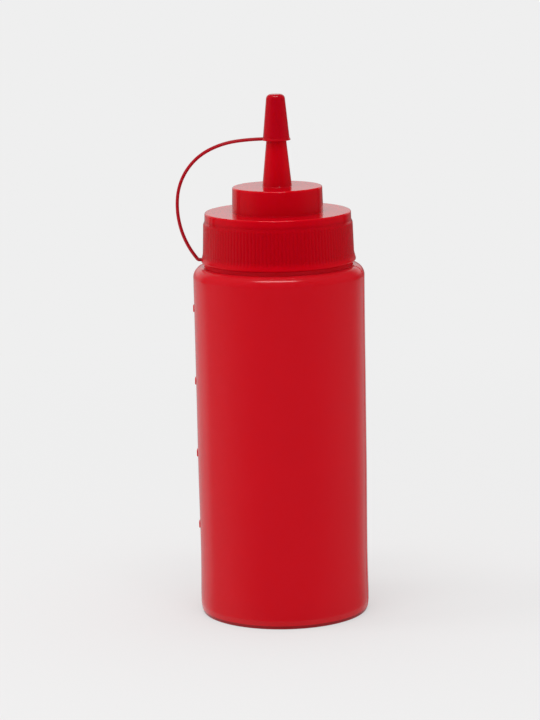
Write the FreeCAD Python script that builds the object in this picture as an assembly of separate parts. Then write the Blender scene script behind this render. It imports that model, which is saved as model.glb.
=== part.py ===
"""Sauce squeeze bottle: a tall round bottle, a stepped screw cap with a ribbed skirt and a
tapering nozzle, and a tip cap that hangs on the screw cap by a thin bent strap.

Frame: millimetres, +Z up, origin on the bottle's axis in the plane it stands on.  The
strap bends in the XZ plane on the -X side, and the volume marks face -X.
"""
import FreeCAD, Part
import math
import os

# ------------------------------------------------------------------ bottle
body_dia = 68.0            # widest, at the shoulder
body_h = 140.9             # standing plane to the flat top of the shoulder
shoulder_round = 4.4
foot_inset = 0.6           # foot band inside the widest wall, on the radius
foot_h = 1.3
foot_round = 0.25
ledge_w = 0.2              # step between the foot band and the wall
heel_inset = 0.1           # wall just above the heel, inside the widest wall
heel_rise = 2.2            # height over which the wall turns in to the foot
heel_round = 2.5
waist_inset = 0.32         # the wall sinks in a little above the heel
waist_z = 24.0
belly_inset = 0.07
belly_z = 68.0
stand_ring_w = 3.2         # flat ring that the bottle stands on
push_up = 2.6              # depth of the raised bottom inside that ring
push_up_slope_w = 7.0
push_up_round = 3.0

# ------------------------------------------------------------------ volume marks
wall_t = 1.15              # real wall, from which the marks' spacing follows
mark_volume = 100.0e3      # cubic millimetres between two marks
mark_datum = 5.8           # height lost to the raised bottom, below the first volume
digit_h = 2.7
digit_w = 1.65
digit_stroke = 0.42
digit_gap = 0.55
mark_relief = 0.38         # raised above the wall
mark_root = 1.6            # depth to which a mark is rooted in the wall
mark_end_y = -1.2          # the last digit ends here
dash_w = 2.8
dash_t = 0.6
dash_gap = 0.9

# ------------------------------------------------------------------ neck and screw cap
neck_dia = 53.0
neck_round = 0.8
collar_w = 3.0             # low collar round the neck's foot, beyond the neck
collar_clear = 0.15        # its top to the cap's lower face
neck_clear = 0.3           # cap bore to neck, on the radius
cap_gap = 1.3              # open gap from the shoulder to the cap's lower face
cap_h = 19.8               # lower face to the flat top around the tier
cap_top_t = 2.0            # thickness over the neck
skirt_wall = 2.845         # skirt at its lower face, between the ribs
skirt_taper = 0.0337       # radius lost per mm of height
rim_round = 0.7
flange_lip = 1.05          # flange beyond the skirt
flange_h = 1.3
flange_top_round = 0.2
flange_under_h = 0.45      # the flange's lower edge draws in over this height
flange_under_inset = 0.3
flange_under_round = 0.3
flare_round = 0.85         # hollow between the flange and the ribs
rib_count = 126
rib_proud = 0.45
rib_root = 0.3             # depth to which a rib is rooted in the skirt
rib_share = 0.62           # rib's foot as a share of the pitch
rib_top_share = 0.3
rib_end_drop = 3.4         # ribs stop this far below the cap's flat top

# ------------------------------------------------------------------ tier and nozzle
tier_h = 9.95
tier_dia = 36.15           # at its foot
tier_taper = 0.027
tier_round = 0.7
tier_foot_round = 0.1
nozzle_dia = 11.7          # at its foot
nozzle_h = 34.05
nozzle_taper = 0.1045
nozzle_foot_round = 0.9
nozzle_tip_round = 0.4

# ------------------------------------------------------------------ tip cap and strap
tip_cover = 15.8           # length of nozzle inside the tip cap
tip_crown_t = 2.5
tip_wall = 1.25            # at the mouth
tip_taper = 0.0966
tip_round = 1.45
seat_clear = 0.15          # tip cap to nozzle, on the radius
ring_proud = 0.3
ring_h = 1.05
ring_round = 0.35
strap_t = 1.3
strap_w = 2.0
strap_bury = 0.6           # strap's end inside the ring
tip_bend_r = 85.0          # first bend beside the tip cap
tip_bend_deg = 7.4
top_bend_r = 33.2
top_bend_deg = 19.5
crown_bend_deg = 57.6      # this radius and the next are solved to reach the root
back_bend_deg = 44.1
root_bend_r = 1.2          # sharp bend beside the flange
root_tab = 1.005           # straight root between that bend and its seat
root_drop = 0.3            # root's middle below the flange's top face
seat_flat = 0.4            # depth of the flat in the flange's edge that the root meets
seat_side_clear = 0.2

# ------------------------------------------------------------------ places that follow
body_r = body_dia / 2
neck_r = neck_dia / 2
bore_r = neck_r + neck_clear
collar_r = min(neck_r + collar_w, body_r - 0.5)
cap_z = body_h + cap_gap
cap_top = cap_z + cap_h
neck_top = cap_top - cap_top_t
flange_top = cap_z + flange_h
tier_top = cap_top + tier_h
nozzle_top = tier_top + nozzle_h
tip_z = nozzle_top - tip_cover
tip_top = nozzle_top + tip_crown_t
strap_top_z = tip_z + ring_h / 2
root_z = flange_top - root_drop


def skirt_r(z):
    """Radius of the smooth skirt between the ribs."""
    return bore_r + skirt_wall - skirt_taper * (z - cap_z)


def nozzle_r(z):
    return nozzle_dia / 2 - nozzle_taper * (z - tier_top)


def tip_r(z):
    """Outside radius of the tip cap's cone."""
    return nozzle_r(tip_z) + seat_clear + tip_wall - tip_taper * (z - tip_z)


flange_r = skirt_r(cap_z) + flange_lip
ring_r = tip_r(tip_z) + ring_proud


# ------------------------------------------------------------------ outlines
def point(r, z):
    return FreeCAD.Vector(r, 0, z)


def rounded_outline(corners):
    """Closed wire in the XZ plane through corners (r, z, rounding).  Sides are straight, and
    corners are tangent arcs.  A fourth value is a list of points that the side after the
    corner bends through."""
    count = len(corners)
    pieces = []
    for i, (r, z, rounding, *_) in enumerate(corners):
        corner = point(r, z)
        if not rounding:
            pieces.append((corner, None, corner))
            continue
        before = (point(*corners[i - 1][:2]) - corner).normalize()
        after = (point(*corners[(i + 1) % count][:2]) - corner).normalize()
        half = before.getAngle(after) / 2
        reach = rounding / math.tan(half)
        centre = corner + (before + after).normalize() * (rounding / math.sin(half))
        middle = centre + (corner - centre).normalize() * rounding
        pieces.append((corner + before * reach, middle, corner + after * reach))
    edges = []
    for i, (start, middle, end) in enumerate(pieces):
        following = pieces[(i + 1) % count][0]
        if middle is not None:
            edges.append(Part.Arc(start, middle, end).toShape())
        if len(corners[i]) == 3:
            edges.append(Part.LineSegment(end, following).toShape())
            continue
        side = Part.BSplineCurve()
        along = (following - end).normalize()
        through = [end] + [point(*place) for place in corners[i][3]] + [following]
        side.interpolate(Points=through, InitialTangent=along, FinalTangent=along)
        edges.append(side.toShape())
    return Part.Wire(edges)


def turned(corners):
    """Solid of revolution about Z of a rounded outline."""
    face = Part.Face(rounded_outline(corners))
    return face.revolve(FreeCAD.Vector(0, 0, 0), FreeCAD.Vector(0, 0, 1), 360)


def slab(low, high):
    """Box between two corners."""
    size = [b - a for a, b in zip(low, high)]
    return Part.makeBox(*size, FreeCAD.Vector(*low))


# ------------------------------------------------------------------ bottle
def wall_corners(grow=0.0):
    """The bottle's outside from the heel to the shoulder, moved out by grow."""
    foot_r = body_r - foot_inset
    hollow = [
        (body_r - waist_inset + grow, waist_z),
        (body_r - belly_inset + grow, belly_z),
    ]
    return [
        (foot_r + ledge_w + grow, foot_h, 0),
        (body_r - heel_inset + grow, foot_h + heel_rise, heel_round, hollow),
        (body_r + grow, body_h, min(shoulder_round, 0.98 * (body_r - collar_r))),
    ]


def bottle_body():
    foot_r = body_r - foot_inset
    ring_in = foot_r - foot_round - stand_ring_w
    return turned([
        (0, push_up, 0),
        (ring_in - push_up_slope_w, push_up, push_up_round),
        (ring_in, 0, 0),
        (foot_r, 0, foot_round),
        (foot_r, foot_h, 0),
        *wall_corners(),
        (collar_r, body_h, 0),
        (collar_r, cap_z - collar_clear, 0),
        (neck_r, cap_z - collar_clear, 0),
        (neck_r, neck_top, neck_round),
        (0, neck_top, 0),
    ])


DIGIT_STROKES = {
    "0": "top left_up left_low right_up right_low bottom",
    "1": "right_up right_low",
    "2": "top right_up middle left_low bottom",
    "3": "top right_up middle right_low bottom",
    "4": "left_up middle right_up right_low",
    "5": "top left_up middle right_low bottom",
    "6": "top left_up left_low middle right_low bottom",
    "7": "top right_up right_low",
    "8": "top left_up left_low middle right_up right_low bottom",
    "9": "top left_up middle right_up right_low bottom",
}


def digit_bars(digit):
    """Straight bars (left, low, width, height) of one block digit."""
    upright = (digit_h + digit_stroke) / 2
    half = (digit_h - digit_stroke) / 2
    right = digit_w - digit_stroke
    bars = {
        "top": (0, digit_h - digit_stroke, digit_w, digit_stroke),
        "middle": (0, half, digit_w, digit_stroke),
        "bottom": (0, 0, digit_w, digit_stroke),
        "left_up": (0, half, digit_stroke, upright),
        "left_low": (0, 0, digit_stroke, upright),
        "right_up": (right, half, digit_stroke, upright),
        "right_low": (right, 0, digit_stroke, upright),
    }
    return [bars[name] for name in DIGIT_STROKES[digit].split()]


def mark_bars(label, z):
    """Boxes of one mark: its digits, read from the -X side, and a dash before them."""
    advance = digit_w + digit_gap
    text_w = len(label) * advance - digit_gap
    text_left = mark_end_y + text_w
    bars = [(-dash_gap - dash_w, (digit_h - dash_t) / 2, dash_w, dash_t)]
    for i, digit in enumerate(label):
        bars += [(left + i * advance, low, w, h) for left, low, w, h in digit_bars(digit)]
    boxes = []
    for left, low, w, h in bars:
        high_y = text_left - left
        base = z - digit_h / 2 + low
        boxes.append(slab((-body_r - 1, high_y - w, base), (-body_r + mark_root, high_y, base + h)))
    return boxes


def volume_marks():
    """Raised marks at every 100 ml that the straight wall has room for."""
    step = mark_volume / (math.pi * (body_r - wall_t) ** 2)
    last = body_h - shoulder_round - digit_h
    skin = turned([(0, foot_h, 0), *wall_corners(mark_relief), (0, body_h, 0)])
    marks = []
    z = mark_datum + step
    while z < last:
        label = str(round(100 * (z - mark_datum) / step))
        bars = mark_bars(label, z)
        marks.append(bars[0].multiFuse(bars[1:]).common(skin))
        z += step
    return marks


def make_bottle():
    return bottle_body().multiFuse(volume_marks()).removeSplitter()


# ------------------------------------------------------------------ screw cap
def cap_outside():
    """Flange, skirt, tier and nozzle as one turned solid, before the bore."""
    under_r = flange_r - flange_under_inset
    return turned([
        (0, cap_z, 0),
        (under_r, cap_z, 0),
        (flange_r, cap_z + flange_under_h, flange_under_round),
        (flange_r, flange_top, flange_top_round),
        (skirt_r(flange_top), flange_top, flare_round),
        (skirt_r(cap_top), cap_top, rim_round),
        (tier_dia / 2, cap_top, tier_foot_round),
        (tier_dia / 2 - tier_taper * tier_h, tier_top, tier_round),
        (nozzle_r(tier_top), tier_top, nozzle_foot_round),
        (nozzle_r(nozzle_top), nozzle_top, nozzle_tip_round),
        (0, nozzle_top, 0),
    ])


def rib_ring():
    """Ribs round the skirt, tapering with it, as one closed gear-shaped solid."""
    pitch = 2 * math.pi / rib_count
    foot_half = pitch * rib_share / 2
    top_half = pitch * rib_top_share / 2
    low_z = flange_top
    high_z = cap_top - rib_end_drop
    root_r = skirt_r(low_z) - rib_root
    crest_r = skirt_r(low_z) + rib_proud
    corners = ((-foot_half, root_r), (-top_half, crest_r), (top_half, crest_r), (foot_half, root_r))

    def gear(z):
        shrink = skirt_r(z) / skirt_r(low_z)
        points = []
        for i in range(rib_count):
            for turn, r in corners:
                angle = i * pitch + turn
                points.append(FreeCAD.Vector(r * shrink * math.cos(angle), r * shrink * math.sin(angle), z))
        return points

    lower = gear(low_z)
    upper = gear(high_z)
    faces = [Part.Face(Part.makePolygon(ring + ring[:1])) for ring in (lower, upper)]
    for i in range(len(lower)):
        quad = [lower[i - 1], lower[i], upper[i], upper[i - 1]]
        faces.append(Part.Face(Part.makePolygon(quad + quad[:1])))
    return Part.Solid(Part.Shell(faces))


def root_seat():
    """Flat notch across the flange's edge where the strap's root meets it."""
    half_w = strap_w / 2 + seat_side_clear
    return slab((-flange_r - 1, -half_w, cap_z - 1), (-flange_r + seat_flat, half_w, flange_top + flare_round))


def make_screw_cap():
    bore = Part.makeCylinder(bore_r, neck_top - cap_z + 1, FreeCAD.Vector(0, 0, cap_z - 1))
    return cap_outside().fuse(rib_ring()).cut(bore).cut(root_seat()).removeSplitter()


# ------------------------------------------------------------------ tip cap and strap
def tip_body():
    """Hollow cone over the nozzle's end, closed at the top, with a ring round its mouth."""
    ring_top = tip_z + ring_h
    return turned([
        (nozzle_r(tip_z) + seat_clear, tip_z, 0),
        (ring_r, tip_z, ring_round),
        (ring_r, ring_top, ring_round / 2),
        (tip_r(ring_top), ring_top, 0),
        (tip_r(tip_top), tip_top, tip_round),
        (0, tip_top, 0),
        (0, nozzle_top, 0),
        (nozzle_r(nozzle_top) + seat_clear, nozzle_top, 0),
    ])


def turn_vector(heading, turn):
    """How far an arc of radius 1 that starts along heading and turns left by turn goes."""
    end = heading + turn
    return math.sin(end) - math.sin(heading), math.cos(heading) - math.cos(end)


def strap_bends():
    """(radius, turn) of each bend from the tip cap to the root.  The last bend brings the
    strap back to level, and the crown and back radii are solved so that it ends there."""
    turns = [math.radians(a) for a in (tip_bend_deg, top_bend_deg, crown_bend_deg, back_bend_deg)]
    turns.append(math.pi - sum(turns))
    headings = [math.pi + sum(turns[:i]) for i in range(len(turns))]
    steps = [turn_vector(heading, turn) for heading, turn in zip(headings, turns)]
    known = {0: tip_bend_r, 1: top_bend_r, 4: root_bend_r}
    reach_x = -(flange_r - seat_flat + root_tab) + (ring_r - strap_bury)
    reach_z = root_z - strap_top_z
    left_x = reach_x - sum(r * steps[i][0] for i, r in known.items())
    left_z = reach_z - sum(r * steps[i][1] for i, r in known.items())
    (cx, cz), (bx, bz) = steps[2], steps[3]
    spread = cx * bz - bx * cz
    crown_r = (left_x * bz - bx * left_z) / spread
    back_r = (cx * left_z - left_x * cz) / spread
    radii = [tip_bend_r, top_bend_r, crown_r, back_r, root_bend_r]
    return list(zip(radii, turns))


def strap_side(offset):
    """One long edge of the strap, offset to the left of its middle line, as arcs and a tab."""
    x = -(ring_r - strap_bury)
    z = strap_top_z
    heading = math.pi
    edges = []

    def at(centre, radius, angle):
        return point(centre[0] + radius * math.sin(angle), centre[1] - radius * math.cos(angle))

    for radius, turn in strap_bends():
        centre = (x - radius * math.sin(heading), z + radius * math.cos(heading))
        stops = [at(centre, radius - offset, heading + turn * share) for share in (0, 0.5, 1)]
        edges.append(Part.Arc(*stops).toShape())
        heading += turn
        x = centre[0] + radius * math.sin(heading)
        z = centre[1] - radius * math.cos(heading)
    end = point(x + root_tab, z + offset)
    edges.append(Part.LineSegment(stops[2], end).toShape())
    return edges


def make_strap():
    inner = strap_side(strap_t / 2)
    outer = strap_side(-strap_t / 2)
    ends = [
        Part.LineSegment(inner[0].Vertexes[0].Point, outer[0].Vertexes[0].Point).toShape(),
        Part.LineSegment(inner[-1].Vertexes[1].Point, outer[-1].Vertexes[1].Point).toShape(),
    ]
    wire = Part.Wire(Part.__sortEdges__(inner + outer + ends))
    flat = Part.Face(wire)
    flat.translate(FreeCAD.Vector(0, -strap_w / 2, 0))
    return flat.extrude(FreeCAD.Vector(0, strap_w, 0))


def make_tip_cap():
    return tip_body().fuse(make_strap()).removeSplitter()


# ------------------------------------------------------------------ export
nodes = {
    "bottle": make_bottle(),
    "screw_cap": make_screw_cap(),
    "tip_cap": make_tip_cap(),
}
os.makedirs("parts", exist_ok=True)
for name, shape in nodes.items():
    solid = shape.Solids[0] if len(shape.Solids) == 1 else shape
    solid.exportStep("parts/" + name + ".step")
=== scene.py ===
import math

import bmesh
import bpy
from mathutils import Matrix, Vector


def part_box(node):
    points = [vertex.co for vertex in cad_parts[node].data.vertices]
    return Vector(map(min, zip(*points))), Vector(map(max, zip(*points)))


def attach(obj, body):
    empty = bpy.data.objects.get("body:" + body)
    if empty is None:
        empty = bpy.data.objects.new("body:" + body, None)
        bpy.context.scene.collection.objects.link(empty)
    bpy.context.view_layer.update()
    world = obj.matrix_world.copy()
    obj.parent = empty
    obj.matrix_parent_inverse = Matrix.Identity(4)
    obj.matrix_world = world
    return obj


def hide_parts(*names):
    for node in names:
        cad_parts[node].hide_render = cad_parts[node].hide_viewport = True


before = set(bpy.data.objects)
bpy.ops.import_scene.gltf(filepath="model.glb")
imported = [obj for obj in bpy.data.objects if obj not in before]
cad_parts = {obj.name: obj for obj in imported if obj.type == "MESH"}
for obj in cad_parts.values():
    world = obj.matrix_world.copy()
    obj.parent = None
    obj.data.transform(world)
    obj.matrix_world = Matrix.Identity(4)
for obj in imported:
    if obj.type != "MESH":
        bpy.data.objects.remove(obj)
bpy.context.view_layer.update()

mm = 0.001

# ------------------------------------------------------------------ bottle
# The bottle is blown from a soft tube of red polyethylene in a mould of two halves.  The
# wall is one skin from the neck to the raised bottom, slightly wavy where it cooled, with a
# fine raised line where the mould halves met and a pinched weld across the bottom.
bottle_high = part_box("bottle")[1]
cap_low, cap_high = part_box("screw_cap")
body_r = bottle_high.y
body_h = cap_low.z - 1.7 * mm
neck_r = 26.5 * mm
collar_r = neck_r + 3.0 * mm
collar_top = cap_low.z - 0.15 * mm
collar_round = 0.12 * mm
neck_round = 0.8 * mm
neck_foot_round = 0.1 * mm
shoulder_round = 4.2 * mm
foot_r = body_r - 0.6 * mm
foot_h = 1.3 * mm
foot_round = 0.25 * mm
foot_tuck = 0.25 * mm
ledge_w = 0.2 * mm
ledge_round = 0.08 * mm
heel_h = 3.5 * mm
heel_round = 2.5 * mm
wall_insets = ((heel_h, 0.1 * mm), (24 * mm, 0.32 * mm), (68 * mm, 0.07 * mm), (body_h, 0.0))
wall_row = 2.5 * mm
first_row_h = heel_h + 5 * mm
stand_ring_w = 3.2 * mm
stand_ring_round = 0.5 * mm
push_up = 2.6 * mm
push_up_slope_w = 7 * mm
push_up_round = 3 * mm
bottle_columns = 320
parting_turn = math.radians(-12)
parting_height = 0.15 * mm
parting_half_w = 0.35 * mm
parting_low = 0.3 * mm
parting_fade = 0.6 * mm
parting_crowding = 0.8
wave_height = 0.10 * mm
wave_size = 26 * mm
wave_fade = 12 * mm
seam_reach = 0.002 * mm
weld_reach = 0.0005 * mm


def wall_r(z):
    """Outside radius of the bottle's wall, which sinks in a little above the heel."""
    inset = wall_insets[0][1]
    for (z0, a), (z1, b) in zip(wall_insets, wall_insets[1:]):
        t = min(max((z - z0) / (z1 - z0), 0), 1)
        inset += (b - a) * t * t * (3 - 2 * t)
    return body_r - inset


def rounded(corners, arc_step=math.radians(10), hold=0.08 * mm):
    """Outline points (radius, height) through corners (radius, height, rounding).  A rounding
    becomes an arc with a holding point on each long side next to it, which keeps flats flat."""
    points = []
    for i, (r, z, rounding) in enumerate(corners):
        corner = Vector((r, z))
        if not rounding:
            points.append(corner)
            continue
        before = Vector(corners[i - 1][:2]) - corner
        after = Vector(corners[i + 1][:2]) - corner
        half = before.angle(after) / 2
        reach = rounding / math.tan(half)
        middle = (before.normalized() + after.normalized()).normalized()
        centre = corner + middle * rounding / math.sin(half)
        start = corner + before.normalized() * reach - centre
        turn = start.angle_signed(corner + after.normalized() * reach - centre)
        steps = max(3, math.ceil(abs(turn) / arc_step))
        if before.length > reach + 3 * hold:
            points.append(corner + before.normalized() * (reach + hold))
        for k in range(steps + 1):
            points.append(centre + Matrix.Rotation(-turn * k / steps, 2) @ start)
        if after.length > reach + 3 * hold:
            points.append(corner + after.normalized() * (reach + hold))
    return points


def outline_object(name, points):
    """A chain of edges in the XZ plane for a node tree to turn or sweep."""
    mesh = bpy.data.meshes.new(name)
    chain = [(i, i + 1) for i in range(len(points) - 1)]
    mesh.from_pydata([(p[0], 0, p[1]) for p in points], chain, [])
    made = bpy.data.objects.new(name, mesh)
    bpy.context.collection.objects.link(made)
    return made


def new_tree(name, kind, inputs, outputs):
    """A node tree with named sockets, and its input and output nodes."""
    tree = bpy.data.node_groups.new(name, kind)
    for direction, sockets in (("INPUT", inputs), ("OUTPUT", outputs)):
        for label, socket in sockets.items():
            tree.interface.new_socket(label, in_out=direction, socket_type="NodeSocket" + socket)
    return tree, tree.nodes.new("NodeGroupInput"), tree.nodes.new("NodeGroupOutput")


def add(tree, kind, inputs=(), **settings):
    """A new node.  Its inputs are given by name or number, as a value or a socket to link."""
    made = tree.nodes.new(kind)
    for name, value in settings.items():
        setattr(made, name, value)
    for key, value in dict(inputs).items():
        if isinstance(value, bpy.types.NodeSocket):
            tree.links.new(value, made.inputs[key])
        else:
            made.inputs[key].default_value = value
    return made


def calc(tree, operation, *values, **settings):
    """The result of one Math node."""
    return add(tree, "ShaderNodeMath", enumerate(values), operation=operation, **settings).outputs[0]


def ramp(tree, value, low, high, at_low=0.0, at_high=1.0):
    """value turned smoothly from at_low, where it is low, to at_high, where it is high."""
    ends = {0: value, 1: low, 2: high, 3: at_low, 4: at_high}
    return add(tree, "ShaderNodeMapRange", ends, interpolation_type="SMOOTHSTEP").outputs[0]


def between(tree, value, low, high, rise, fall):
    """1 between low and high and 0 outside, with a smooth rise over low and fall under high."""
    up = ramp(tree, value, low, calc(tree, "ADD", low, rise))
    down = ramp(tree, value, high, calc(tree, "SUBTRACT", high, fall))
    return calc(tree, "MULTIPLY", up, down)


def end_tree(tree, given, result, geometry):
    """Closes a geometry tree: smooth faces, real meshes and the piece's material."""
    smooth = add(tree, "GeometryNodeSetShadeSmooth", {0: geometry}).outputs[0]
    real = add(tree, "GeometryNodeRealizeInstances", {0: smooth}).outputs[0]
    dressed = {0: real, "Material": given.outputs["Material"]}
    coated = add(tree, "GeometryNodeSetMaterial", dressed).outputs[0]
    tree.links.new(coated, result.inputs[0])


def turning_tree():
    """Turns a chain of edges in the XZ plane about Z.  Crowding draws the columns together
    at the two sides that lie on the X axis, where a parting line needs fine faces."""
    tree, given, result = new_tree(
        "turned about the axis",
        "GeometryNodeTree",
        {"Outline": "Geometry", "Columns": "Int", "Crowding": "Float", "Material": "Material"},
        {"Geometry": "Geometry"},
    )
    outline = given.outputs["Outline"]
    columns = given.outputs["Columns"]
    rows = add(tree, "GeometryNodeAttributeDomainSize", {0: outline}).outputs["Point Count"]
    counts = {"Vertices X": calc(tree, "ADD", columns, 1), "Vertices Y": rows}
    grid = add(tree, "GeometryNodeMeshGrid", counts).outputs["Mesh"]
    index = add(tree, "GeometryNodeInputIndex").outputs[0]
    column = calc(tree, "FLOOR", calc(tree, "DIVIDE", calc(tree, "ADD", index, 0.5), rows))
    row = calc(tree, "SUBTRACT", index, calc(tree, "MULTIPLY", column, rows))
    share = calc(tree, "DIVIDE", column, columns)
    bunch = calc(tree, "SINE", calc(tree, "MULTIPLY", share, 4 * math.pi))
    bunch = calc(tree, "MULTIPLY", bunch, calc(tree, "MULTIPLY", given.outputs["Crowding"], 0.5))
    angle = calc(tree, "SUBTRACT", calc(tree, "MULTIPLY", share, 2 * math.pi), bunch)
    position = add(tree, "GeometryNodeInputPosition").outputs[0]
    sample = add(tree, "GeometryNodeSampleIndex", {0: outline}, data_type="FLOAT_VECTOR")
    tree.links.new(position, sample.inputs["Value"])
    tree.links.new(row, sample.inputs["Index"])
    place = add(tree, "ShaderNodeSeparateXYZ", {0: sample.outputs[0]}).outputs
    x = calc(tree, "MULTIPLY", place["X"], calc(tree, "COSINE", angle))
    y = calc(tree, "MULTIPLY", place["X"], calc(tree, "SINE", angle))
    spot = add(tree, "ShaderNodeCombineXYZ", {0: x, 1: y, 2: place["Z"]}).outputs[0]
    placed = add(tree, "GeometryNodeSetPosition", {0: grid, "Position": spot}).outputs[0]
    seams = {0: placed, "Distance": seam_reach}
    closed = add(tree, "GeometryNodeMergeByDistance", seams).outputs[0]
    end_tree(tree, given, result, closed)
    return tree


def blown_wall_tree():
    """Raises the parting line along the XZ plane, and lets the wall wave in a little."""
    tree, given, result = new_tree(
        "blown wall",
        "GeometryNodeTree",
        {
            "Geometry": "Geometry",
            "Line Height": "Float",
            "Line Half Width": "Float",
            "Line Low": "Float",
            "Line High": "Float",
            "Line Fade": "Float",
            "Wave Height": "Float",
            "Wave Size": "Float",
            "Wave Low": "Float",
            "Wave High": "Float",
            "Wave Fade": "Float",
            "Turn": "Float",
            "Material": "Material",
        },
        {"Geometry": "Geometry"},
    )
    take = given.outputs
    normal = add(tree, "GeometryNodeInputNormal").outputs[0]
    position = add(tree, "GeometryNodeInputPosition").outputs[0]
    place = add(tree, "ShaderNodeSeparateXYZ", {0: position}).outputs
    height = place["Z"]
    off_plane = calc(tree, "ABSOLUTE", place["Y"])
    line = ramp(tree, off_plane, 0.0, take["Line Half Width"], take["Line Height"], 0.0)
    line_full = calc(tree, "ADD", take["Line Low"], take["Line Fade"])
    line = calc(tree, "MULTIPLY", line, ramp(tree, height, take["Line Low"], line_full))
    line = calc(tree, "MULTIPLY", line, calc(tree, "LESS_THAN", height, take["Line High"]))
    scale = calc(tree, "DIVIDE", 1.0, take["Wave Size"])
    noise = {"Vector": position, "Scale": scale, "Detail": 1.0}
    wave = add(tree, "ShaderNodeTexNoise", noise).outputs[0]
    wave = calc(tree, "MULTIPLY", wave, take["Wave Height"])
    fade = take["Wave Fade"]
    wavy = between(tree, height, take["Wave Low"], take["Wave High"], fade, fade)
    lift = calc(tree, "SUBTRACT", line, calc(tree, "MULTIPLY", wave, wavy))
    scaled = {0: normal, "Scale": lift}
    offset = add(tree, "ShaderNodeVectorMath", scaled, operation="SCALE").outputs[0]
    shaped = add(tree, "GeometryNodeSetPosition", {0: take["Geometry"], "Offset": offset}).outputs[0]
    turn = add(tree, "ShaderNodeCombineXYZ", {2: take["Turn"]}).outputs[0]
    turned = add(tree, "GeometryNodeTransform", {0: shaped, "Rotation": turn}).outputs[0]
    end_tree(tree, given, result, turned)
    return tree


def run_tree(piece, tree, **values):
    """Puts a node tree on a piece as a modifier, its inputs given by name with _ for a space."""
    modifier = piece.modifiers.new(tree.name, "NODES")
    modifier.node_group = tree
    for item in tree.interface.items_tree:
        key = item.name.replace(" ", "_")
        if item.in_out == "INPUT" and key in values:
            modifier[item.identifier] = values[key]


def as_plain_mesh(piece, sharp=math.radians(38)):
    """Applies what the modifiers made to the piece's own mesh."""
    graph = bpy.context.evaluated_depsgraph_get()
    mesh = bpy.data.meshes.new_from_object(piece.evaluated_get(graph))
    old = piece.data
    piece.modifiers.clear()
    piece.data = mesh
    mesh.name = piece.name
    bpy.data.meshes.remove(old)
    tidy = bmesh.new()
    tidy.from_mesh(mesh)
    bmesh.ops.remove_doubles(tidy, verts=tidy.verts, dist=weld_reach)
    bmesh.ops.dissolve_degenerate(tidy, edges=tidy.edges, dist=weld_reach)
    bmesh.ops.recalc_face_normals(tidy, faces=tidy.faces)
    tidy.to_mesh(mesh)
    tidy.free()
    mesh.shade_smooth()
    mesh.set_sharp_from_angle(angle=sharp)
    return piece


def skin_group():
    """Height of a moulded surface: a fine grain and a slow unevenness."""
    tree, given, result = new_tree(
        "moulded skin",
        "ShaderNodeTree",
        {"Grain Size": "Float", "Grain Depth": "Float", "Flow Size": "Float", "Flow Depth": "Float"},
        {"Height": "Float"},
    )
    place = add(tree, "ShaderNodeTexCoord").outputs["Object"]
    heights = []
    for what, detail in (("Grain", 2.0), ("Flow", 1.0)):
        scale = calc(tree, "DIVIDE", 1.0, given.outputs[what + " Size"])
        noise = add(tree, "ShaderNodeTexNoise", {"Vector": place, "Scale": scale, "Detail": detail})
        heights.append(calc(tree, "MULTIPLY", noise.outputs[0], given.outputs[what + " Depth"]))
    tree.links.new(calc(tree, "ADD", *heights), result.inputs["Height"])
    return tree


def pigment_group():
    """Colour of a dyed plastic, a little lighter and darker from place to place."""
    tree, given, result = new_tree(
        "pigment drift",
        "ShaderNodeTree",
        {"Colour": "Color", "Patch Size": "Float", "Drift": "Float"},
        {"Colour": "Color"},
    )
    place = add(tree, "ShaderNodeTexCoord").outputs["Object"]
    scale = calc(tree, "DIVIDE", 1.0, given.outputs["Patch Size"])
    patch = {"Vector": place, "Scale": scale, "Detail": 3.0}
    noise = add(tree, "ShaderNodeTexNoise", patch).outputs[0]
    swing = calc(tree, "MULTIPLY", calc(tree, "SUBTRACT", noise, 0.5), given.outputs["Drift"])
    value = calc(tree, "ADD", swing, 1.0)
    shade = add(tree, "ShaderNodeHueSaturation", {"Value": value, "Color": given.outputs["Colour"]})
    tree.links.new(shade.outputs[0], result.inputs["Colour"])
    return tree


patches_per_m = 70.0
streaks_per_m = (900, 900, 60)
streak_faint = 0.62
streak_full = 0.78
least_roughness = 0.04


def handling_group():
    """Roughness of a handled plastic: dull patches, faint short rub marks, and a matt part
    above a height."""
    tree, given, result = new_tree(
        "handling marks",
        "ShaderNodeTree",
        {
            "Roughness": "Float",
            "Dull Patches": "Float",
            "Rub Marks": "Float",
            "Matt Above": "Float",
            "Matt Gain": "Float",
        },
        {"Roughness": "Float"},
    )
    place = add(tree, "ShaderNodeTexCoord").outputs["Object"]
    take = given.outputs
    patch = {"Vector": place, "Scale": patches_per_m, "Detail": 3.0}
    patch = add(tree, "ShaderNodeTexNoise", patch).outputs[0]
    dull = calc(tree, "MULTIPLY", calc(tree, "SUBTRACT", patch, 0.5), take["Dull Patches"])
    drawn = add(tree, "ShaderNodeMapping", {"Vector": place, "Scale": streaks_per_m}).outputs[0]
    streak = {"Vector": drawn, "Scale": 1.0, "Detail": 2.0}
    streak = add(tree, "ShaderNodeTexNoise", streak).outputs[0]
    streak = ramp(tree, streak, streak_faint, streak_full)
    rub = calc(tree, "MULTIPLY", streak, take["Rub Marks"])
    height = add(tree, "ShaderNodeSeparateXYZ", {0: place}).outputs["Z"]
    matt = calc(tree, "GREATER_THAN", height, take["Matt Above"])
    matt = calc(tree, "MULTIPLY", matt, take["Matt Gain"])
    total = calc(tree, "ADD", calc(tree, "ADD", take["Roughness"], dull), rub)
    total = calc(tree, "ADD", total, matt)
    total = calc(tree, "MAXIMUM", total, least_roughness)
    tree.links.new(total, result.inputs["Roughness"])
    return tree


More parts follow.
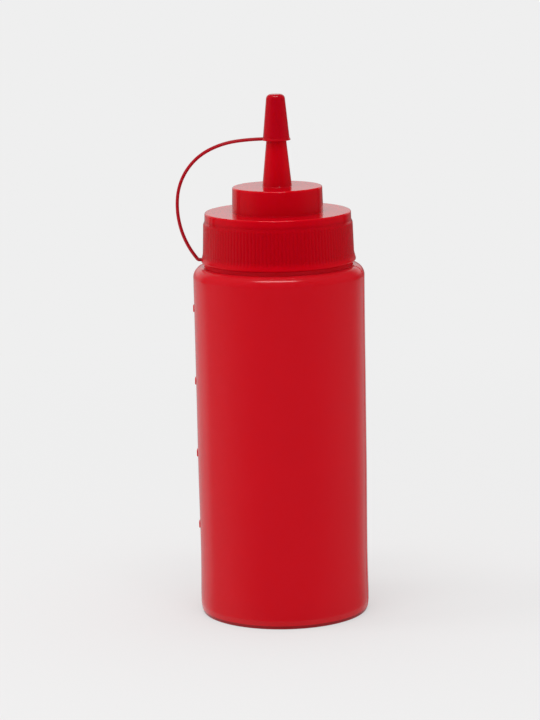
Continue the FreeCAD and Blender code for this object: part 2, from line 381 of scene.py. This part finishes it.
def shade_group():
    """Share of the light that reaches a surface: less in a band of heights, and 1 outside."""
    tree, given, result = new_tree(
        "shaded band",
        "ShaderNodeTree",
        {"Low": "Float", "High": "Float", "Fade": "Float", "Loss": "Float"},
        {"Light": "Float"},
    )
    take = given.outputs
    place = add(tree, "ShaderNodeTexCoord").outputs["Object"]
    height = add(tree, "ShaderNodeSeparateXYZ", {0: place}).outputs["Z"]
    low = calc(tree, "SUBTRACT", take["Low"], take["Fade"])
    high = calc(tree, "ADD", take["High"], take["Fade"])
    band = between(tree, height, low, high, take["Fade"], take["Fade"])
    loss = calc(tree, "MULTIPLY", band, take["Loss"])
    tree.links.new(calc(tree, "SUBTRACT", 1.0, loss), result.inputs["Light"])
    return tree


moulded_skin = skin_group()
pigment_drift = pigment_group()
handling_marks = handling_group()
shaded_band = shade_group()


def plastic(name, colour, skin, drift, handling, depth, shade=None):
    """A dyed plastic that light enters a little, to about depth.  skin, drift, handling and
    shade are the values of the four groups.  Without shade no band of it is darker."""
    material = bpy.data.materials.new(name)
    material.use_nodes = True
    tree = material.node_tree
    tree.nodes.clear()
    height = add(tree, "ShaderNodeGroup", skin, node_tree=moulded_skin).outputs[0]
    bump = {"Strength": 1.0, "Distance": 1.0, "Height": height}
    normal = add(tree, "ShaderNodeBump", bump).outputs[0]
    rough = add(tree, "ShaderNodeGroup", handling, node_tree=handling_marks).outputs[0]
    dye = {"Colour": (*colour, 1), **drift}
    base = add(tree, "ShaderNodeGroup", dye, node_tree=pigment_drift).outputs[0]
    if shade:
        light = add(tree, "ShaderNodeGroup", shade, node_tree=shaded_band).outputs[0]
        dimmed = {0: base, "Scale": light}
        base = add(tree, "ShaderNodeVectorMath", dimmed, operation="SCALE").outputs[0]
    shader = add(
        tree,
        "ShaderNodeBsdfPrincipled",
        {
            "Base Color": base,
            "Roughness": rough,
            "Normal": normal,
            "IOR": 1.5,
            "Subsurface Weight": 1.0,
            "Subsurface Radius": (1.0, 0.3, 0.3),
            "Subsurface Scale": depth,
        },
    )
    add(tree, "ShaderNodeOutputMaterial", {"Surface": shader.outputs[0]})
    return material


bottle_plastic = plastic(
    "blown red polyethylene",
    (0.55, 0.0062, 0.0135),
    {"Grain Size": 0.5 * mm, "Grain Depth": 0.003 * mm, "Flow Size": 9 * mm, "Flow Depth": 0.03 * mm},
    {"Patch Size": 30 * mm, "Drift": 0.06},
    {
        "Roughness": 0.17,
        "Dull Patches": 0.04,
        "Rub Marks": 0.0,
        "Matt Above": body_h + 0.05 * mm,
        "Matt Gain": 0.6,
    },
    depth=1.2 * mm,
    shade={"Low": 0.0, "High": foot_h, "Fade": 0.2 * mm, "Loss": 0.45},
)

turning = turning_tree()
blown_wall = blown_wall_tree()

ring_in = foot_r - foot_round - stand_ring_w
row_span = body_h - shoulder_round - wall_row - first_row_h
row_heights = [first_row_h + wall_row * row for row in range(math.ceil(row_span / wall_row))]
bottle_outline = rounded([
    (0, push_up, 0),
    (ring_in - push_up_slope_w, push_up, push_up_round),
    (ring_in, 0, stand_ring_round),
    (foot_r - foot_tuck, 0, foot_round),
    (foot_r, foot_h, ledge_round),
    (foot_r + ledge_w, foot_h, ledge_round),
    (wall_r(heel_h), heel_h, heel_round),
    *[(wall_r(z), z, 0) for z in row_heights],
    (body_r, body_h, shoulder_round),
    (collar_r, body_h, collar_round),
    (collar_r, collar_top, collar_round),
    (neck_r, collar_top, neck_foot_round),
    (neck_r, bottle_high.z, neck_round),
    (0, bottle_high.z, 0),
])
bottle = outline_object("bottle_shell", bottle_outline)
run_tree(
    bottle,
    turning,
    Columns=bottle_columns,
    Crowding=parting_crowding,
    Material=bottle_plastic,
)
run_tree(
    bottle,
    blown_wall,
    Line_Height=parting_height,
    Line_Half_Width=parting_half_w,
    Line_Low=parting_low,
    Line_High=cap_low.z,
    Line_Fade=parting_fade,
    Wave_Height=wave_height,
    Wave_Size=wave_size,
    Wave_Low=heel_h + heel_round,
    Wave_High=body_h - shoulder_round,
    Wave_Fade=wave_fade,
    Turn=parting_turn,
    Material=bottle_plastic,
)
as_plain_mesh(bottle)
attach(bottle, "root")
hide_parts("bottle")

# ------------------------------------------------------------------ volume marks
# Plain numbers and a dash stand a little proud of the wall at every 100 ml, on the side of
# the strap.  They are cut into the mould, so they are of the same skin as the bottle.
inside_r = body_r - 1.15 * mm
mark_step = 100e-6 / (math.pi * inside_r ** 2)
mark_datum = 5.8 * mm
digit_h = 2.7 * mm
digit_share = 0.7
digit_spacing = 1.08
mark_relief = 0.36 * mm
mark_soft = 0.16 * mm
mark_thinning = 0.112 * mm
mark_root = 0.5 * mm
mark_end = 1.2 * mm
dash_w = 2.8 * mm
dash_t = 0.6 * mm
dash_gap = 0.9 * mm


def flat_number(label):
    """The mesh of a raised number, digit_h tall, that ends at X = mark_end."""
    text = bpy.data.curves.new("number", "FONT")
    text.body = label
    text.size = digit_h / digit_share
    text.extrude = (mark_relief + mark_root) / 2 - mark_soft
    text.bevel_depth = mark_soft
    text.bevel_resolution = 3
    text.offset = -mark_thinning
    text.resolution_u = 6
    text.space_character = digit_spacing
    shown = bpy.data.objects.new("number", text)
    bpy.context.collection.objects.link(shown)
    graph = bpy.context.evaluated_depsgraph_get()
    mesh = bpy.data.meshes.new_from_object(shown.evaluated_get(graph))
    bpy.data.objects.remove(shown)
    bpy.data.curves.remove(text)
    low = Vector(min(v.co[i] for v in mesh.vertices) for i in range(3))
    high = Vector(max(v.co[i] for v in mesh.vertices) for i in range(3))
    fit = digit_h / (high.y - low.y)
    for v in mesh.vertices:
        x = (v.co.x - high.x) * fit + mark_end
        y = (v.co.y - low.y) * fit - digit_h / 2
        v.co = (x, y, v.co.z - high.z + mark_relief)
    return mesh


def mark_piece(label, z):
    """One number with its dash, bent round the wall at height z."""
    digits = flat_number(label)
    shape = bmesh.new()
    shape.from_mesh(digits)
    bpy.data.meshes.remove(digits)
    left = min(v.co.x for v in shape.verts)
    centre = (left - dash_gap - dash_w / 2, 0, (mark_relief - mark_root) / 2)
    size = Matrix.Diagonal((dash_w, dash_t, mark_relief + mark_root, 1))
    dash = bmesh.ops.create_cube(shape, size=1, matrix=Matrix.Translation(centre) @ size)
    front = {v for v in dash["verts"] if v.co.z > 0}
    rim = [e for e in shape.edges if front.issuperset(e.verts)]
    bmesh.ops.bevel(shape, geom=rim, offset=mark_soft, segments=3, affect="EDGES")
    for v in shape.verts:
        angle = math.pi + v.co.x / body_r
        radius = wall_r(z + v.co.y) + v.co.z
        v.co = (radius * math.cos(angle), radius * math.sin(angle), z + v.co.y)
    bmesh.ops.remove_doubles(shape, verts=shape.verts, dist=0.001 * mm)
    bmesh.ops.recalc_face_normals(shape, faces=shape.faces)
    mesh = bpy.data.meshes.new("volume_mark_" + label)
    shape.to_mesh(mesh)
    shape.free()
    mesh.materials.append(bottle_plastic)
    mesh.shade_smooth()
    mesh.set_sharp_from_angle(angle=math.radians(30))
    piece = bpy.data.objects.new("volume_mark_" + label, mesh)
    bpy.context.collection.objects.link(piece)
    return piece


mark_count = int((body_h - shoulder_round - digit_h - mark_datum) / mark_step)
for step in range(1, mark_count + 1):
    mark = mark_piece(str(100 * step), mark_datum + step * mark_step)
    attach(mark, "root")

# ------------------------------------------------------------------ screw cap
# The cap is moulded in one from a harder, glossier red plastic: a ribbed skirt over a
# flange, a tier on its flat top, and the nozzle that tapers up from the tier.  It screws
# down over the bottle's neck.
cap_z = cap_low.z
nozzle_top = cap_high.z
flange_r = cap_high.y
cap_top = cap_z + 19.8 * mm
tier_top = cap_top + 9.95 * mm
flange_top = cap_z + 1.3 * mm
bore_r = neck_r + 0.3 * mm
mouth_round = 0.15 * mm
skirt_taper = 0.0337
flange_lip = 1.05 * mm
flange_under_h = 0.45 * mm
flange_under_inset = 0.3 * mm
flange_under_round = 0.3 * mm
flange_side_h = 1.0 * mm
flange_side_round = 0.6 * mm
flare_h = 3.0 * mm
flare_round = 2.5 * mm
rim_round = 0.7 * mm
tier_r = 18.075 * mm
tier_taper = 0.027
tier_round = 0.7 * mm
tier_foot_round = 0.06 * mm
nozzle_r = 5.85 * mm
nozzle_taper = 0.1045
nozzle_foot_round = 0.3 * mm
nozzle_tip_round = 0.4 * mm
rib_count = 126
rib_columns = 6
rib_proud = 0.5 * mm
rib_crest_share = 0.35
rib_low = cap_z + 1.0 * mm
rib_high = cap_top - 3.2 * mm
rib_runout = 2.0 * mm
rib_fade = 1.6 * mm
rib_shade = 0.16
groove_depth = 0.12 * mm
groove_low = cap_z + 1.2 * mm
groove_high = rib_high - 0.6 * mm
groove_end = 0.7 * mm
rib_end_rows = 13
rib_end_row = 0.125 * rib_fade


def skirt_r(z):
    """Radius of the plain skirt, under the band of ribs."""
    return flange_r - flange_lip - skirt_taper * (z - cap_z)


def grip_rib_tree():
    """Raises a band on the outside of a turned skirt, with upright grooves between ribs."""
    tree, given, result = new_tree(
        "grip ribs",
        "GeometryNodeTree",
        {
            "Geometry": "Geometry",
            "Count": "Int",
            "Proud": "Float",
            "Crest Share": "Float",
            "Low": "Float",
            "High": "Float",
            "Run Out": "Float",
            "Fade": "Float",
            "Groove Depth": "Float",
            "Groove Low": "Float",
            "Groove High": "Float",
            "Groove End": "Float",
            "Material": "Material",
        },
        {"Geometry": "Geometry"},
    )
    take = given.outputs
    position = add(tree, "GeometryNodeInputPosition").outputs[0]
    normal = add(tree, "GeometryNodeInputNormal").outputs[0]
    place = add(tree, "ShaderNodeSeparateXYZ", {0: position}).outputs
    level = add(tree, "ShaderNodeCombineXYZ", {0: place["X"], 1: place["Y"]}).outputs[0]
    outward = add(tree, "ShaderNodeVectorMath", {0: level}, operation="NORMALIZE").outputs[0]
    both = {0: outward, 1: normal}
    facing = add(tree, "ShaderNodeVectorMath", both, operation="DOT_PRODUCT").outputs["Value"]
    turns = calc(tree, "DIVIDE", calc(tree, "ARCTAN2", place["Y"], place["X"]), 2 * math.pi)
    ribs = calc(tree, "MULTIPLY", turns, take["Count"])
    pitch = calc(tree, "FRACT", calc(tree, "ADD", ribs, 0.5))
    off_crest = calc(tree, "ABSOLUTE", calc(tree, "SUBTRACT", pitch, 0.5))
    off_crest = calc(tree, "MULTIPLY", off_crest, 2)
    band = between(tree, place["Z"], take["Low"], take["High"], take["Run Out"], take["Fade"])
    band = calc(tree, "MULTIPLY", band, take["Proud"])
    end = take["Groove End"]
    cut = between(tree, place["Z"], take["Groove Low"], take["Groove High"], end, end)
    groove = ramp(tree, off_crest, take["Crest Share"], 1.0, 0.0, take["Groove Depth"])
    lift = calc(tree, "SUBTRACT", band, calc(tree, "MULTIPLY", cut, groove))
    lift = calc(tree, "MULTIPLY", lift, calc(tree, "GREATER_THAN", facing, 0.5))
    scaled = {0: outward, "Scale": lift}
    offset = add(tree, "ShaderNodeVectorMath", scaled, operation="SCALE").outputs[0]
    ribbed = add(tree, "GeometryNodeSetPosition", {0: take["Geometry"], "Offset": offset}).outputs[0]
    end_tree(tree, given, result, ribbed)
    return tree


cap_plastic = plastic(
    "moulded red cap plastic",
    (0.52, 0.0008, 0.0068),
    {"Grain Size": 0.4 * mm, "Grain Depth": 0.0015 * mm, "Flow Size": 6 * mm, "Flow Depth": 0.012 * mm},
    {"Patch Size": 18 * mm, "Drift": 0.05},
    {"Roughness": 0.09, "Dull Patches": 0.03, "Rub Marks": 0.03},
    depth=1.2 * mm,
    shade={"Low": rib_low + rib_runout, "High": rib_high, "Fade": rib_fade, "Loss": rib_shade},
)

rib_rows = [(rib_low + rib_high) / 2]
rib_rows += [rib_high - 1.5 * rib_fade + rib_end_row * row for row in range(rib_end_rows)]
cap_outline = rounded([
    (0, bottle_high.z, 0),
    (bore_r, bottle_high.z, 0),
    (bore_r, cap_z, mouth_round),
    (flange_r - flange_under_inset, cap_z, mouth_round),
    (flange_r, cap_z + flange_under_h, flange_under_round),
    (flange_r, cap_z + flange_side_h, flange_side_round),
    (skirt_r(cap_z + flare_h), cap_z + flare_h, flare_round),
    *[(skirt_r(z), z, 0) for z in rib_rows],
    (skirt_r(cap_top), cap_top, rim_round),
    (tier_r, cap_top, tier_foot_round),
    (tier_r - tier_taper * (tier_top - cap_top), tier_top, tier_round),
    (nozzle_r, tier_top, nozzle_foot_round),
    (nozzle_r - nozzle_taper * (nozzle_top - tier_top), nozzle_top, nozzle_tip_round),
    (0, nozzle_top, 0),
])
cap = outline_object("screw_cap_shell", cap_outline)
run_tree(cap, turning, Columns=rib_count * rib_columns, Crowding=0.0, Material=cap_plastic)
run_tree(
    cap,
    grip_rib_tree(),
    Count=rib_count,
    Proud=rib_proud,
    Crest_Share=rib_crest_share,
    Low=rib_low,
    High=rib_high,
    Run_Out=rib_runout,
    Fade=rib_fade,
    Groove_Depth=groove_depth,
    Groove_Low=groove_low,
    Groove_High=groove_high,
    Groove_End=groove_end,
    Material=cap_plastic,
)
as_plain_mesh(cap)
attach(cap, "root")
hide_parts("screw_cap")

# ------------------------------------------------------------------ tip cap
# A small hollow cone with a ring round its mouth, moulded together with its strap from a
# softer, smooth red plastic, and pushed over the nozzle's end.
tip_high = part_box("tip_cap")[1]
tip_top = tip_high.z
tip_z = nozzle_top - 15.8 * mm
ring_r = tip_high.x
ring_h = 1.05 * mm
ring_proud = 0.3 * mm
ring_side_h = 0.35 * mm
ring_round = 0.15 * mm
ring_foot_round = 0.4 * mm
tip_taper = 0.0966
tip_round = 1.85 * mm
tip_dome = 0.3 * mm
tip_crown_r = 0.9 * mm
tip_crown_drop = 0.1 * mm
seat_clear = 0.15 * mm
seat_round = 0.1 * mm
tip_columns = 96


def nozzle_side(z):
    """Outside radius of the nozzle, which the tip cap sits on."""
    return nozzle_r - nozzle_taper * (z - tier_top)


def tip_side(z):
    """Outside radius of the tip cap's cone."""
    return ring_r - ring_proud - tip_taper * (z - tip_z)


tip_plastic = plastic(
    "moulded red tip plastic",
    (0.43, 0.001, 0.0075),
    {"Grain Size": 0.4 * mm, "Grain Depth": 0.001 * mm, "Flow Size": 5 * mm, "Flow Depth": 0.01 * mm},
    {"Patch Size": 12 * mm, "Drift": 0.05},
    {"Roughness": 0.14, "Dull Patches": 0.02, "Rub Marks": 0.0},
    depth=1.0 * mm,
)
tip_outline = rounded([
    (0, nozzle_top, 0),
    (nozzle_side(nozzle_top) + seat_clear, nozzle_top, 0),
    (nozzle_side(tip_z) + seat_clear, tip_z, seat_round),
    (ring_r, tip_z, ring_round),
    (ring_r, tip_z + ring_side_h, ring_round),
    (tip_side(tip_z + ring_h), tip_z + ring_h, ring_foot_round),
    (tip_side(tip_top), tip_top - tip_dome, tip_round),
    (tip_crown_r, tip_top - tip_crown_drop, 0),
    (0, tip_top, 0),
])
tip_cap = outline_object("tip_cap_shell", tip_outline)
run_tree(tip_cap, turning, Columns=tip_columns, Crowding=0.0, Material=tip_plastic)
as_plain_mesh(tip_cap)
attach(tip_cap, "root")
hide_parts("tip_cap")

# ------------------------------------------------------------------ strap
# A thin flat strap of the tip cap's own plastic, moulded straight and bent over by hand,
# ties the tip cap to the flange of the screw cap.
strap_w = 2.0 * mm
strap_t = 1.3 * mm
strap_edge = 0.58 * mm
strap_bury = 0.6 * mm
root_z = flange_top - 0.3 * mm
root_sink = 0.4 * mm
root_tab = 1.005 * mm
bend_radii = {0: 85 * mm, 1: 33.2 * mm, 4: 1.2 * mm}
bend_turns = [math.radians(a) for a in (7.4, 19.5, 57.6, 44.1)]
strap_step = 0.8 * mm


def strap_bends():
    """(radius, turn) of each bend from the tip cap down to the flange.  The third and
    fourth radii follow from where the strap has to end."""
    turns = bend_turns + [math.pi - sum(bend_turns)]
    headings = [math.pi + sum(turns[:i]) for i in range(len(turns))]
    steps = [
        Vector((math.sin(h + t) - math.sin(h), math.cos(h) - math.cos(h + t)))
        for h, t in zip(headings, turns)
    ]
    left = strap_end - strap_start
    for i, radius in bend_radii.items():
        left -= steps[i] * radius
    crown, back = steps[2], steps[3]
    spread = crown.x * back.y - back.x * crown.y
    radii = [
        bend_radii[0],
        bend_radii[1],
        (left.x * back.y - back.x * left.y) / spread,
        (crown.x * left.y - left.x * crown.y) / spread,
        bend_radii[4],
    ]
    return list(zip(radii, turns))


def strap_path():
    """Points along the middle of the strap."""
    at = strap_start.copy()
    heading = math.pi
    points = [at.copy()]
    for radius, turn in strap_bends():
        steps = max(4, math.ceil(radius * turn / strap_step))
        centre = at + Vector((-math.sin(heading), math.cos(heading))) * radius
        for k in range(1, steps + 1):
            angle = heading + turn * k / steps
            points.append(centre + Vector((math.sin(angle), -math.cos(angle))) * radius)
        at = points[-1].copy()
        heading += turn
    points.append(at + Vector((root_tab, 0)))
    return points


def strap_tree():
    """Sweeps a rounded flat bar along a chain of edges."""
    tree, given, result = new_tree(
        "bent strap",
        "GeometryNodeTree",
        {
            "Path": "Geometry",
            "Width": "Float",
            "Thickness": "Float",
            "Edge": "Float",
            "Material": "Material",
        },
        {"Geometry": "Geometry"},
    )
    take = given.outputs
    path = add(tree, "GeometryNodeMeshToCurve", {0: take["Path"]}).outputs[0]
    size = {"Width": take["Width"], "Height": take["Thickness"]}
    bar = add(tree, "GeometryNodeCurvePrimitiveQuadrilateral", size).outputs[0]
    corners = {"Curve": bar, "Radius": take["Edge"]}
    soft = add(tree, "GeometryNodeFilletCurve", corners).outputs[0]
    sweep = {"Curve": path, "Profile Curve": soft, "Fill Caps": True}
    swept = add(tree, "GeometryNodeCurveToMesh", sweep).outputs[0]
    end_tree(tree, given, result, swept)
    return tree


# The strap is of the tip cap's plastic, but its colour is set darker and duller than the tip cap's:
# painted shade and painted reflection of a thin bent strap.
strap_plastic_painted_light = plastic(
    "moulded red strap plastic",
    (0.37, 0.006, 0.014),
    {"Grain Size": 0.4 * mm, "Grain Depth": 0.001 * mm, "Flow Size": 5 * mm, "Flow Depth": 0.01 * mm},
    {"Patch Size": 12 * mm, "Drift": 0.05},
    {"Roughness": 0.2, "Dull Patches": 0.04, "Rub Marks": 0.03},
    depth=0.6 * mm,
    shade={"Low": 0.0, "High": root_z, "Fade": 0.3 * mm, "Loss": 0.1},
)
strap_start = Vector((-(ring_r - strap_bury), tip_z + ring_h / 2))
strap_end = Vector((-(flange_r - root_sink + root_tab), root_z))
strap = outline_object("strap", strap_path())
run_tree(
    strap,
    strap_tree(),
    Width=strap_w,
    Thickness=strap_t,
    Edge=strap_edge,
    Material=strap_plastic_painted_light,
)
as_plain_mesh(strap)
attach(strap, "root")

# ------------------------------------------------------------------ floor, light and camera
# A pale sweep under and behind the bottle, soft lamps above and beside it, and a camera a
# little over a metre away that looks slightly down.
pale = (0.863, 0.863, 0.863, 1)
floor_half = 20.0
lamp_target = (0, 0, 0.1)
room_front = 0.02
table_front = 0.055
left_wall = (-0.9, 0.0, 0.14)
left_gap = (0.5, 0.09, 0.12)
left_back = (0.56, 0.67, 0.26)
right_wall = (-0.8, 0.0, 0.07)
right_gap = (0.62, 0.12, 0.06)
right_back = (0.72, 0.82, 0.11)
table_left = (-0.95, 0.2, 0.24)
table_left_back = (0.35, 0.6, 0.30)
table_right = (-0.9, 0.2, 0.14)
table_right_back = (0.4, 0.85, 0.30)
table_end = (0.8, 1.0)
foot_glow = 0.2
foot_glow_end = (0.038, 0.046)
backdrop_from = 0.6
backdrop_full = 0.97
backdrop_low = 0.18
backdrop_fade = 0.27
backdrop_high = 0.55
backdrop_glow = 1.0
floor_shift = 0.03
room_strength = 0.95
floor_bounce = 0.863
floor_seen = 0.711
full_shadow_r = 0.1
no_shadow_r = 0.6
nearest_glow_share = 0.5
side_blend = 0.1
camera_place = (0, -1.1348, 0.3144)
camera_pitch = math.radians(10.596)
camera_yaw = math.radians(0.212)
camera_roll = math.radians(1.153)
camera_lens = 144.5


def side_glow(tree, back, front, side, behind):
    """How bright one side is: dark in front, dim beside the bottle, and brighter behind it.
    back runs from -1 in front of the bottle to 1 behind it.  side and behind say from where
    to where the brightness grows, and by how much."""
    beside = ramp(tree, back, side[0], side[1], front, front + side[2])
    return calc(tree, "ADD", beside, ramp(tree, back, behind[0], behind[1], 0.0, behind[2]))


def dark_gap(tree, glow, back, gap):
    """glow with a dark gap between the side wall and the backdrop, given by its middle, its
    half width and its depth."""
    off_gap = calc(tree, "ABSOLUTE", calc(tree, "SUBTRACT", back, gap[0]))
    return calc(tree, "SUBTRACT", glow, ramp(tree, off_gap, gap[1], 0.0, 0.0, gap[2]))


def glow_group():
    """Colour of the studio in a direction: pale behind the bottle, dim in front of it.  Table
    is 1 for the table beside the bottle and 0 for the room, and Foot Glow is added to both."""
    tree, given, result = new_tree(
        "studio glow",
        "ShaderNodeTree",
        {"Pale": "Color", "Direction": "Vector", "Table": "Float", "Foot Glow": "Float"},
        {"Colour": "Color"},
    )
    heading = {0: given.outputs["Direction"]}
    heading = add(tree, "ShaderNodeVectorMath", heading, operation="NORMALIZE").outputs[0]
    toward = add(tree, "ShaderNodeSeparateXYZ", {0: heading}).outputs
    back = toward["Y"]
    up = toward["Z"]
    on_left = ramp(tree, toward["X"], side_blend, -side_blend)
    left = side_glow(tree, back, room_front, left_wall, left_back)
    left = dark_gap(tree, left, back, left_gap)
    right = side_glow(tree, back, room_front, right_wall, right_back)
    right = dark_gap(tree, right, back, right_gap)
    room = add(tree, "ShaderNodeMapRange", {0: on_left, 3: right, 4: left}).outputs[0]
    left = side_glow(tree, back, table_front, table_left, table_left_back)
    right = side_glow(tree, back, table_front, table_right, table_right_back)
    table = add(tree, "ShaderNodeMapRange", {0: on_left, 3: right, 4: left}).outputs[0]
    around = {0: given.outputs["Table"], 3: room, 4: table}
    around = add(tree, "ShaderNodeMapRange", around).outputs[0]
    backdrop = ramp(tree, back, backdrop_from, backdrop_full)
    backdrop = calc(tree, "MULTIPLY", backdrop, ramp(tree, up, 0.0, backdrop_low))
    backdrop = calc(tree, "MULTIPLY", backdrop, ramp(tree, up, backdrop_high, backdrop_fade))
    glow = {0: backdrop, 3: around, 4: backdrop_glow}
    glow = add(tree, "ShaderNodeMapRange", glow).outputs[0]
    glow = calc(tree, "ADD", glow, given.outputs["Foot Glow"])
    scaled = {0: given.outputs["Pale"], "Scale": glow}
    colour = add(tree, "ShaderNodeVectorMath", scaled, operation="SCALE").outputs[0]
    tree.links.new(colour, result.inputs["Colour"])
    return tree


studio_glow = glow_group()


def pale_floor():
    """A wide pale sheet.  Close to the bottle it is lit by the lamps, so it takes a shadow."""
    mesh = bpy.data.meshes.new("floor")
    far = floor_half
    corners = [(-far, -far, 0), (far, -far, 0), (far, far, 0), (-far, far, 0)]
    mesh.from_pydata(corners, [], [(0, 1, 2, 3)])
    floor = bpy.data.objects.new("floor", mesh)
    bpy.context.collection.objects.link(floor)
    material = bpy.data.materials.new("pale floor")
    material.use_nodes = True
    tree = material.node_tree
    tree.nodes.clear()
    place = add(tree, "ShaderNodeTexCoord").outputs["Object"]
    away = add(tree, "ShaderNodeVectorMath", {0: place}, operation="LENGTH").outputs["Value"]
    shifted = add(tree, "ShaderNodeVectorMath", {0: place, 1: (0, floor_shift, 0)}).outputs[0]
    table = ramp(tree, away, table_end[1], table_end[0])
    near = ramp(tree, away, foot_glow_end[1], foot_glow_end[0], 0.0, foot_glow)
    glow = {"Pale": pale, "Direction": shifted, "Table": table, "Foot Glow": near}
    glow = add(tree, "ShaderNodeGroup", glow, node_tree=studio_glow).outputs[0]
    plain = add(tree, "ShaderNodeEmission", {"Color": pale, "Strength": 1.0})
    glossy = add(tree, "ShaderNodeEmission", {"Color": glow, "Strength": 1.0})
    paths = add(tree, "ShaderNodeLightPath").outputs
    bounce = ramp(tree, paths["Is Camera Ray"], 0.0, 1.0, floor_bounce, floor_seen)
    lit = add(tree, "ShaderNodeBsdfDiffuse", {"Color": bounce})
    share = ramp(tree, away, full_shadow_r, no_shadow_r, nearest_glow_share, 1.0)
    share = calc(tree, "MULTIPLY", share, paths["Is Camera Ray"])
    seen = add(tree, "ShaderNodeMixShader", {0: share, 1: lit.outputs[0], 2: plain.outputs[0]})
    mirrored = calc(tree, "MAXIMUM", paths["Is Glossy Ray"], paths["Is Transmission Ray"])
    mix = add(tree, "ShaderNodeMixShader", {0: mirrored, 1: seen.outputs[0], 2: glossy.outputs[0]})
    add(tree, "ShaderNodeOutputMaterial", {"Surface": mix.outputs[0]})
    material.cycles.emission_sampling = "NONE"
    mesh.materials.append(material)
    return floor


def studio_world():
    """The room: the pale backdrop where it is seen or mirrored, else an even soft light."""
    world = bpy.data.worlds.new("studio")
    world.use_nodes = True
    tree = world.node_tree
    tree.nodes.clear()
    paths = add(tree, "ShaderNodeLightPath").outputs
    heading = add(tree, "ShaderNodeTexCoord").outputs["Generated"]
    glow = {"Pale": pale, "Direction": heading}
    glow = add(tree, "ShaderNodeGroup", glow, node_tree=studio_glow).outputs[0]
    backdrop = add(tree, "ShaderNodeBackground", {"Color": pale, "Strength": 1.0})
    mirrored = add(tree, "ShaderNodeBackground", {"Color": glow, "Strength": 1.0})
    room = add(tree, "ShaderNodeBackground", {"Color": (1, 1, 1, 1), "Strength": room_strength})
    glossy = calc(tree, "MAXIMUM", paths["Is Glossy Ray"], paths["Is Transmission Ray"])
    mix = {0: glossy, 1: room.outputs[0], 2: mirrored.outputs[0]}
    mix = add(tree, "ShaderNodeMixShader", mix).outputs[0]
    mix = {0: paths["Is Camera Ray"], 1: mix, 2: backdrop.outputs[0]}
    mix = add(tree, "ShaderNodeMixShader", mix).outputs[0]
    add(tree, "ShaderNodeOutputWorld", {"Surface": mix})
    world.cycles.sampling_method = "NONE"
    bpy.context.scene.world = world


def softbox(name, place, size, power, mirrored):
    """A rectangular lamp that faces the bottle, and that glossy plastic mirrors or not."""
    lamp = bpy.data.lights.new(name, "AREA")
    lamp.shape = "RECTANGLE"
    lamp.size, lamp.size_y = size
    lamp.energy = power
    stand = bpy.data.objects.new(name, lamp)
    stand.location = place
    aim = Vector(lamp_target) - Vector(place)
    stand.rotation_euler = aim.to_track_quat("-Z", "Y").to_euler()
    stand.visible_glossy = mirrored
    bpy.context.collection.objects.link(stand)


def camera_at(place, pitch, yaw, roll, lens):
    """A camera that looks along +Y, turned down by pitch, left by yaw and clockwise by roll."""
    ahead = Vector((-math.sin(yaw), math.cos(yaw), 0))
    forward = ahead * math.cos(pitch) - Vector((0, 0, math.sin(pitch)))
    right = Vector((math.cos(yaw), math.sin(yaw), 0))
    up = right.cross(forward)
    side = right * math.cos(roll) - up * math.sin(roll)
    top = right * math.sin(roll) + up * math.cos(roll)
    data = bpy.data.cameras.new("camera")
    data.sensor_width = 36
    data.lens = lens
    data.clip_end = 100
    made = bpy.data.objects.new("camera", data)
    facing = Matrix((side, top, -forward)).transposed().to_4x4()
    made.matrix_world = Matrix.Translation(place) @ facing
    bpy.context.collection.objects.link(made)
    bpy.context.scene.camera = made


pale_floor()
studio_world()
softbox("left softbox", place=(-1.3, -0.1, 0.9), size=(0.6, 0.9), power=4, mirrored=False)
softbox("top softbox", place=(-0.05, -0.44, 1.34), size=(0.9, 0.24), power=4.5, mirrored=True)
camera_at(camera_place, camera_pitch, camera_yaw, camera_roll, camera_lens)
bpy.context.scene.view_settings.view_transform = "Standard"
